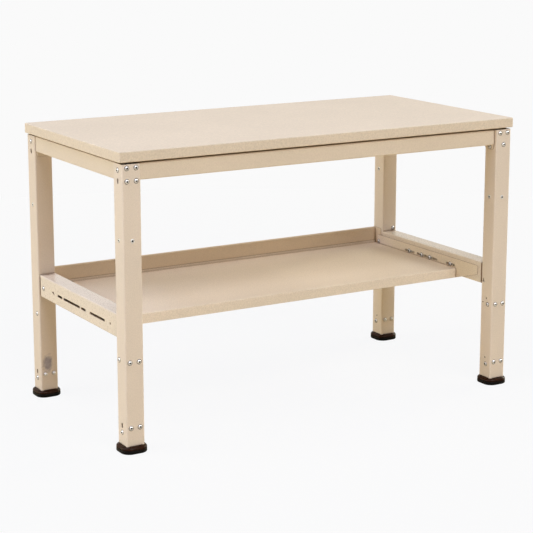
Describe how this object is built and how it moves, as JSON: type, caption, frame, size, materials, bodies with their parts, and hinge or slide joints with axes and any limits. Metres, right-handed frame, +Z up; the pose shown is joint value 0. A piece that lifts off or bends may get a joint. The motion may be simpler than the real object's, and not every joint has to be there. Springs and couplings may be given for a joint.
{
  "type": "assembly table",
  "caption": "Steel assembly table: folded top on square tube legs with rubber boots, aprons, slotted end rails, a half-depth low shelf and a rear stringer.",
  "frame": {"origin": "on the floor, under the middle of the top", "axes": "+Z up; +X to the right along the length, seen from the working side; +Y to the back, so the working side faces -Y"},
  "size_m": [1.2266, 0.6198, 0.772],
  "materials": {
    "powder_coat": "fine-texture beige powder coat",
    "foot_rubber": "matt moulded, dark brown black",
    "zinc_hardware": "bright zinc",
    "inner_steel": "bare, hidden in the leg"
  },
  "bodies": {
    "root": {"apron_cross_bolts": "zinc_hardware", "apron_cross_nuts": "zinc_hardware", "apron_end_bolts": "zinc_hardware", "apron_end_nuts": "zinc_hardware", "apron_front": "powder_coat", "apron_left": "powder_coat", "apron_rear": "powder_coat", "apron_right": "powder_coat", "apron_screws": "zinc_hardware", "end_rail_left": "powder_coat", "end_rail_right": "powder_coat", "foot_front_left": "foot_rubber", "foot_front_right": "foot_rubber", "foot_rear_left": "foot_rubber", "foot_rear_right": "foot_rubber", "leg_front_left": "powder_coat", "leg_front_right": "powder_coat", "leg_plug_front_left": "inner_steel", "leg_plug_front_right": "inner_steel", "leg_plug_rear_left": "inner_steel", "leg_plug_rear_right": "inner_steel", "leg_rear_left": "powder_coat", "leg_rear_right": "powder_coat", "leg_rivet_nuts": "zinc_hardware", "leg_screws": "zinc_hardware", "plug_bolts": "zinc_hardware", "plug_nuts": "zinc_hardware", "rail_screws": "zinc_hardware", "rail_web_bolts": "zinc_hardware", "rail_web_nuts": "zinc_hardware", "rear_leg_screws": "zinc_hardware", "rear_stringer": "powder_coat", "shelf": "powder_coat", "shelf_bolts": "zinc_hardware", "shelf_nuts": "zinc_hardware", "shelf_rib": "powder_coat", "table_top": "powder_coat", "top_rib_front": "powder_coat", "top_rib_middle": "powder_coat", "top_rib_rear": "powder_coat"}
  },
  "joints": []
}
